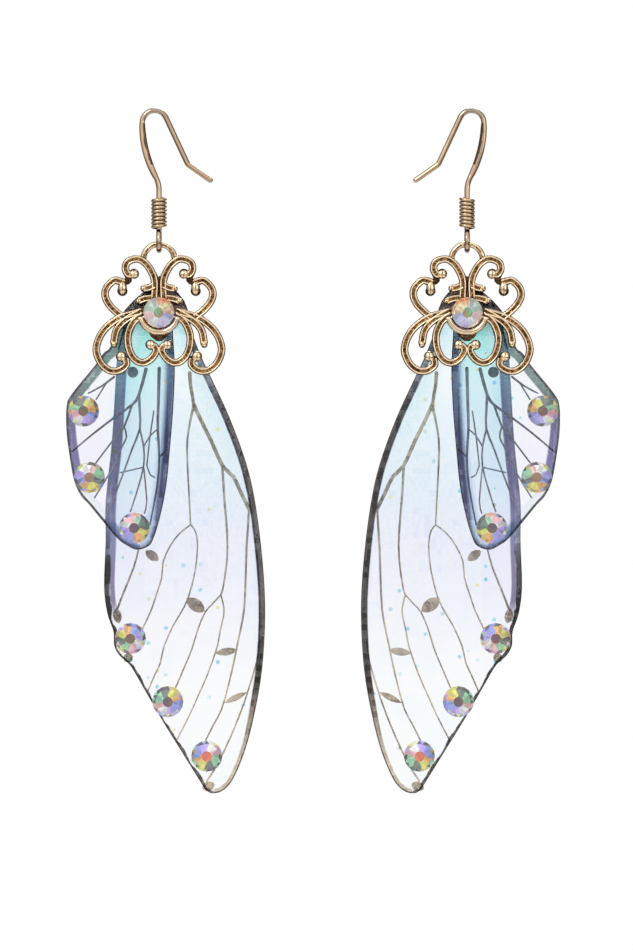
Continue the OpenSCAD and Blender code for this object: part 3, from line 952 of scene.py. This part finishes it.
def see_through(coat, tint, roughness, normal, shine):
    """Tinted clear film: light passes straight on, dimmed by the tint, under a gloss."""
    once = coat.add("ShaderNodeGamma", {"Color": tint, "Gamma": 0.5}).outputs["Color"]
    clear = coat.add("ShaderNodeBsdfTransparent", {"Color": once})
    gloss = coat.add("ShaderNodeBsdfGlossy", {"Roughness": roughness, "Normal": normal})
    slant = coat.add("ShaderNodeLayerWeight", {"Blend": 0.5, "Normal": normal}).outputs["Facing"]
    share = coat.add("ShaderNodeMapRange", {
        "Value": coat.math("POWER", slant, 5.0), "To Min": 0.04 * shine, "To Max": shine,
    }).outputs["Result"]
    return coat.finish(coat.add("ShaderNodeMixShader", {
        0: share, 1: clear.outputs[0], 2: gloss.outputs[0]}))


def clear_resin():
    """Clear poured resin with a slightly wavy, glossy face."""
    coat = Surface("clear_domed_resin")
    ripple = coat.noise(220.0, 2.0)
    pits = coat.noise(1500.0, 2.0)
    tint = coat.mix(coat.step(ripple, 0.3, 0.7), shown(255, 255, 255), shown(250, 253, 255))
    at_root = coat.step(coat.height(), -10 * MM, -8.5 * MM, 0.15, 1.0)
    waves = coat.math("ADD", ripple, coat.math("MULTIPLY", pits, at_root))
    normal = coat.bump(waves, 0.12 * MM, 0.6)
    return see_through(coat, tint, 0.04, normal, 1.0)


FLAKE_COLOURS = (
    (0.0, 110, 205, 210), (0.45, 150, 205, 235), (0.6, 240, 215, 90), (0.75, 245, 150, 100),
    (0.88, 70, 80, 120), (1.0, 200, 160, 225),
)


class WingTint(Surface):
    """A wing's tint, built up from colours down the wing, its margins and the flakes in it."""

    def __init__(self, name, scale, spread, stops):
        super().__init__(name)
        self.up = self.height()
        self.wander = self.drifting(self.up, scale, spread)
        self.edge, self.across = self.attribute("edge"), self.attribute("across")
        self.left = self.math("MULTIPLY", self.across, -1.0)
        self.tint = self.down(self.wander, stops)

    def down(self, height, stops):
        """Colours by how far below the link a point is, in millimetres."""
        low, high = stops[0][0], stops[-1][0]
        value = self.add("ShaderNodeMapRange", {
            "Value": height, "From Min": -low * MM, "From Max": -high * MM}).outputs["Result"]
        return self.ramp(value, [
            ((depth - low) / (high - low), *colour) for depth, *colour in stops])

    def cover(self, first, second, colour):
        """Lays a colour over the tint, as strongly as two shares together."""
        self.tint = self.mix(self.math("MULTIPLY", first, second), self.tint, colour)

    def margin(self, edge, side, width, colour, soft=0.12, strength=1.0):
        """Colours one side's margin, up to a width in millimetres."""
        near = self.step(edge, width + soft, width - soft)
        self.cover(near, self.math("MULTIPLY", self.step(side, -0.1, 0.1), strength), colour)

    def flecks(self):
        """Adds small bright flakes that lie in the film."""
        cells = self.add("ShaderNodeTexVoronoi", {"Vector": self.place(), "Scale": 900.0})
        split = self.add("ShaderNodeSeparateColor", {"Color": cells.outputs["Color"]})
        chosen = self.math("GREATER_THAN", split.outputs[0], 0.93)
        near = self.math("LESS_THAN", cells.outputs["Distance"], 0.26)
        self.cover(chosen, near, self.ramp(split.outputs[1], FLAKE_COLOURS))

    def film(self):
        """Finishes the film, with the nearly black root that the filigree is glued over."""
        ragged = self.ragged(self.up, self.noise(500.0), 0.3, 0.7, 0.4 * MM)
        self.cover(self.step(ragged, -9.6 * MM, -8.8 * MM), 1.0, shown(40, 30, 28))
        return see_through(self, self.tint, 0.08, self.bump(self.noise(500.0), 0.02 * MM), 0.25)


def large_wing_tint(settings):
    """Aqua below the root, pale blue, lilac, then nearly clear at the tip."""
    wing = WingTint("large_wing_tint", 90.0, 6 * MM, (
        (4, 30, 24, 24), (8.5, 34, 30, 32), (10, 150, 196, 196), (12, 222, 246, 246),
        (16, 245, 252, 254), (20, 232, 245, 251), (24, 226, 241, 249), (30, 222, 236, 248),
        (38, 231, 234, 249), (46, 241, 242, 252), (56, 253, 253, 254), (70, 255, 255, 255)))
    glow = wing.math("MULTIPLY", wing.step(wing.edge, 3.6, 0.9), 0.42)
    wing.cover(glow, wing.step(wing.up, -34 * MM, -16 * MM), shown(158, 216, 228))
    wing.flecks()
    violet = wing.down(wing.up, (
        (8, 40, 32, 30), (12, 46, 48, 52), (15, 84, 124, 140), (18, 80, 100, 140),
        (24, 72, 70, 112), (33, 84, 82, 124), (37, 126, 134, 172), (41, 134, 126, 158),
        (50, 128, 120, 150)))
    upper = wing.step(wing.up, -49 * MM, -45.5 * MM)
    wing.margin(wing.edge, wing.left, 1.35, violet, strength=upper)
    dark = wing.down(wing.up, (
        (9, 40, 32, 30), (16, 86, 120, 142), (24, 72, 72, 112), (36, 112, 118, 152),
        (41, settings.outer_margin), (72, 66, 60, 56)))
    uneven = wing.ragged(wing.edge, wing.noise(420.0, 3.0), 0.35, 0.65, 0.14)
    widened = wing.math("SUBTRACT", uneven, wing.math("MULTIPLY", upper, 0.35))
    wing.margin(widened, wing.left, 0.36, dark, 0.06)
    right = wing.down(wing.up, (
        (8, 40, 32, 30), (12, 50, 54, 58), (15, 92, 108, 118), (20, settings.outer_margin),
        (57, 42, 36, 34), (63, 150, 134, 114), (66, 196, 180, 156), (75, 190, 174, 150)))
    narrowed = wing.math("ADD", wing.edge, wing.step(wing.up, -56 * MM, -66 * MM, 0.0, 0.3))
    wing.margin(narrowed, wing.across, 0.85, right, 0.08)
    wing.margin(wing.edge, wing.across, 0.16, shown(72, 62, 56), 0.05)
    return wing.film()


def small_wing_tint():
    """Teal at the root, pale blue, then clear, with a wide indigo margin towards the middle."""
    wing = WingTint("small_wing_tint", 120.0, 5 * MM, (
        (4, 26, 22, 24), (8.5, 30, 28, 30), (10, 120, 186, 178), (13, 190, 240, 234),
        (17, 222, 248, 248), (21, 236, 247, 251), (28, 244, 249, 253), (33, 250, 252, 254),
        (40, 246, 248, 252)))
    lilac = wing.down(wing.wander, (
        (4, 30, 26, 28), (9, 60, 80, 78), (12, 222, 240, 238), (16, 246, 250, 252),
        (26, 244, 241, 252), (40, 252, 252, 255)))
    wing.cover(wing.step(wing.across, 0.0, -0.35), 1.0, lilac)
    glow = wing.math("MULTIPLY", wing.step(wing.edge, 2.0, 1.0), 0.5)
    wing.cover(glow, wing.step(wing.across, 0.0, 0.2), shown(136, 176, 216))
    wing.flecks()
    band = wing.down(wing.up, (
        (11, 96, 124, 122), (17, 122, 146, 142), (21, 96, 100, 104), (24, 112, 110, 152),
        (29, 126, 120, 166), (31, 232, 234, 242), (35, 240, 242, 248), (37, 106, 130, 170),
        (42, 84, 94, 132)))
    wing.margin(wing.edge, wing.left, 1.2, band)
    wing.margin(wing.edge, wing.left, 0.3, shown(74, 72, 82), 0.06)
    indigo = wing.down(wing.up, (
        (10, 40, 60, 70), (16, 50, 72, 106), (24, 48, 54, 92), (34, 74, 78, 112),
        (41, 66, 66, 84)))
    narrowed = wing.math("ADD", wing.edge, wing.step(wing.up, -31 * MM, -37.5 * MM, 0.0, 0.62))
    wing.margin(narrowed, wing.across, 1.05, indigo, 0.4)
    wing.margin(wing.edge, wing.across, 0.16, shown(52, 48, 58), 0.05)
    return wing.film()


def vein_foil(name, tone):
    """Foil, crinkled and rubbed thin in places."""
    coat = Surface(name)
    crinkle = coat.noise(4200.0, 4.0, 0.6)
    patches = coat.noise(240.0, 3.0)
    colour = coat.mix(coat.step(patches, 0.35, 0.65), lit(tone, 0.5), tone)
    colour = coat.mix(coat.step(crinkle, 0.5, 0.75), colour, lit(tone, 1.45))
    return coat.solid(colour, coat.step(crinkle, 0.3, 0.7, 0.35, 0.6), Metallic=0.2,
                      Normal=coat.bump(crinkle, 0.02 * MM, 0.7))


class EARRINGS_OT_wings(Operator):
    """Cuts, domes and tints the two wings of each earring, and gives the veins their foil"""

    bl_idname = "earrings.wings"
    bl_label = "Wings"

    def execute(self, context):
        settings = context.scene.earrings.wing
        resin = clear_resin()
        foils = {"small": vein_foil("slate_vein_foil", settings.small_foil),
                 "large": vein_foil("pale_gold_vein_foil", settings.foil)}
        tints = {"small": small_wing_tint(), "large": large_wing_tint(settings)}
        for size, tint in tints.items():
            sheet = wing_sheet(f"left_{size}_wing_film", f"{size}_film", settings, False)
            hand_over_pair(sheet, f"{size}_wing_film", "sheet", tint)
            gloss = wing_sheet(f"left_{size}_wing_resin", f"{size}_resin", settings, True)
            hand_over_pair(gloss, f"{size}_wing_resin", "dome", resin)
            for side in ("left", "right"):
                veins = frame["nodes"][f"{side}_{size}_wing_veins"]
                veins.data.materials.clear()
                veins.data.materials.append(foils[size])
        return {"FINISHED"}


# Adhesive pads


def adhesive():
    """Clear set glue with a faint milky cloud."""
    coat = Surface("clear_adhesive")
    cloud = coat.noise(900.0, 3.0)
    milky = coat.step(cloud, 0.35, 0.7)
    tint = coat.mix(milky, shown(236, 232, 218), shown(206, 200, 182))
    return see_through(coat, tint, 0.15, coat.bump(cloud, 0.03 * MM), 1.0)


LUMPS = 8


class EARRINGS_OT_glue_pads(Operator):
    """Presses the drops of adhesive between the filigree and the wings' roots"""

    bl_idname = "earrings.glue_pads"
    bl_label = "Adhesive pads"

    def execute(self, context):
        glue = adhesive()
        for part in ("front_glue_pad", "rear_glue_pad"):
            low, high, middle, radius = round_box(f"left_{part}")
            depth = high.y - low.y
            pad = primitive(
                bpy.ops.mesh.primitive_cylinder_add, vertices=40, radius=radius, depth=depth,
                rotation=(math.pi / 2, 0, 0), location=middle)
            pick_faces(pad, lambda f: abs(f.normal.y) > 0.9)
            bpy.ops.mesh.select_all(action="INVERT")
            bpy.ops.mesh.subdivide(number_cuts=4)
            bpy.ops.object.mode_set(mode="OBJECT")
            draw = random.Random(11)
            lumps = [draw.uniform(0.9, 1.0) for _ in range(LUMPS)]
            for vertex in pad.data.vertices:
                away = vertex.co - middle
                turn = (math.atan2(away.z, away.x) / math.tau % 1) * LUMPS
                here, share = int(turn), turn % 1
                lump = lumps[here % LUMPS] * (1 - share) + lumps[(here + 1) % LUMPS] * share
                waist = 1 - 0.07 * (1 - (2 * away.y / depth) ** 2)
                vertex.co.x = middle.x + away.x * lump * waist
                vertex.co.z = middle.z + away.z * lump * waist
            shade(pad, 50)
            hand_over_pair(pad, part, "drop", glue)
        return {"FINISHED"}


# Stage


def pale_floor():
    """Smooth matt board with the slightest grain."""
    coat = Surface("pale_floor")
    grain = coat.noise(60.0, 5.0)
    share = coat.step(grain, 0.3, 0.7)
    return coat.solid(coat.mix(share, shown(231, 231, 232), shown(234, 234, 234)), 0.8)


# Soft lights that face the earrings: place, size and power
SOFTBOXES = {
    "key_light": ((-0.35, -0.55, 0.5), 0.3, 1.6),
    "fill_light": ((0.5, -0.5, 0.1), 0.3, 0.5),
    "rim_light": ((0.1, 0.5, 0.45), 0.4, 3),
}
# The middle of the view, right of the middle of the pair and below the links
VIEW_RIGHT, VIEW_BELOW = 0.44 * MM, 29.6 * MM
FLOOR_R = 0.16
# The way to the key light, and how strongly the surroundings light the earrings
TO_KEY, SURROUND = (-0.15, -0.72, 0.68), 1.2


def softbox(name, place, size, power):
    """A large soft light that faces the earrings."""
    lamp = bpy.data.lights.new(name, "AREA")
    lamp.size = size
    lamp.energy = power
    holder = bpy.data.objects.new(name, lamp)
    holder.location = place
    holder.rotation_euler = (-Vector(place)).to_track_quat("-Z", "Y").to_euler()
    link(holder)


# Brightness of the surroundings from straight away from the key direction to straight at it
TENT = ((0.0, 0.4), (0.2, 0.34), (0.38, 0.1), (0.55, 0.18), (0.7, 0.42), (0.8, 0.62), (0.88, 0.95),
        (0.95, 1.0), (1.0, 0.7))


def studio_world(scene):
    """White behind the earrings, and for light and reflections a tent that is bright in front."""
    world = Nodes(bpy.data.worlds.new("studio"))
    towards_key = world.add("ShaderNodeVectorMath", {
        0: world.add("ShaderNodeTexCoord").outputs["Generated"], 1: TO_KEY,
    }, operation="DOT_PRODUCT").outputs["Value"]
    lift = world.add("ShaderNodeMapRange", {"Value": towards_key, "From Min": -1})
    tent = world.ramp(lift.outputs["Result"], [
        (place, (grey, grey, grey, 1)) for place, grey in TENT])
    surround = world.add("ShaderNodeBackground", {"Color": tent, "Strength": SURROUND})
    backdrop = world.add("ShaderNodeBackground", {"Color": (1, 1, 1, 1)})
    seen = world.add("ShaderNodeLightPath").outputs["Is Camera Ray"]
    mix = world.add("ShaderNodeMixShader", {
        0: seen, 1: surround.outputs[0], 2: backdrop.outputs[0]})
    world.add("ShaderNodeOutputWorld", {"Surface": mix.outputs[0]})
    scene.world = world.owner


class EARRINGS_OT_stage(Operator):
    """Sets the pale floor, the soft studio light and the camera"""

    bl_idname = "earrings.stage"
    bl_label = "Stage"

    def execute(self, context):
        settings = context.scene.earrings.stage
        scene = context.scene
        scene.view_settings.view_transform = "Standard"
        scene.cycles.transparent_max_bounces = 32
        studio_world(scene)
        floor = primitive(
            bpy.ops.mesh.primitive_circle_add, vertices=96, radius=FLOOR_R, fill_type="NGON",
            location=(0, 0, CAD_BOX[0].z - settings.floor_drop))
        floor.name = "floor"
        floor.data.materials.append(pale_floor())
        for name, (place, size, power) in SOFTBOXES.items():
            softbox(name, place, size, power)
        camera = bpy.data.cameras.new("camera")
        camera.lens = camera.sensor_width * settings.distance / settings.view_height
        camera.clip_end = 100
        holder = bpy.data.objects.new("camera", camera)
        holder.location = (VIEW_RIGHT, -settings.distance, LINK.z - VIEW_BELOW)
        holder.rotation_euler = (math.pi / 2, 0, 0)
        link(holder)
        scene.camera = holder
        return {"FINISHED"}


# Panel and registration


class EARRINGS_PT_panel(Panel):
    """Lists the steps that build the earrings"""

    bl_idname = "EARRINGS_PT_panel"
    bl_label = "Fairy wing earrings"
    bl_space_type = "VIEW_3D"
    bl_region_type = "UI"
    bl_category = "Earrings"

    def draw(self, context):
        for operator in OPERATORS:
            self.layout.operator(operator.bl_idname)
        settings = context.scene.earrings
        for group in (settings.metal, settings.wing, settings.stone, settings.stage):
            box = self.layout.box()
            for name in group.__annotations__:
                box.prop(group, name)


OPERATORS = (
    EARRINGS_OT_stage, EARRINGS_OT_ear_wires, EARRINGS_OT_coils, EARRINGS_OT_filigrees,
    EARRINGS_OT_stones, EARRINGS_OT_wings, EARRINGS_OT_glue_pads,
)
CLASSES = (
    MetalSettings, WingSettings, StoneSettings, StageSettings, EarringSettings, *OPERATORS,
    EARRINGS_PT_panel,
)


def register():
    for each in CLASSES:
        bpy.utils.register_class(each)
    bpy.types.Scene.earrings = PointerProperty(type=EarringSettings)


def unregister():
    del bpy.types.Scene.earrings
    for each in reversed(CLASSES):
        bpy.utils.unregister_class(each)


def main():
    register()
    bpy.ops.earrings.stage()
    bpy.ops.earrings.ear_wires()
    bpy.ops.earrings.coils()
    bpy.ops.earrings.filigrees()
    bpy.ops.earrings.stones()
    bpy.ops.earrings.wings()
    bpy.ops.earrings.glue_pads()


if __name__ == "__main__":
    main()
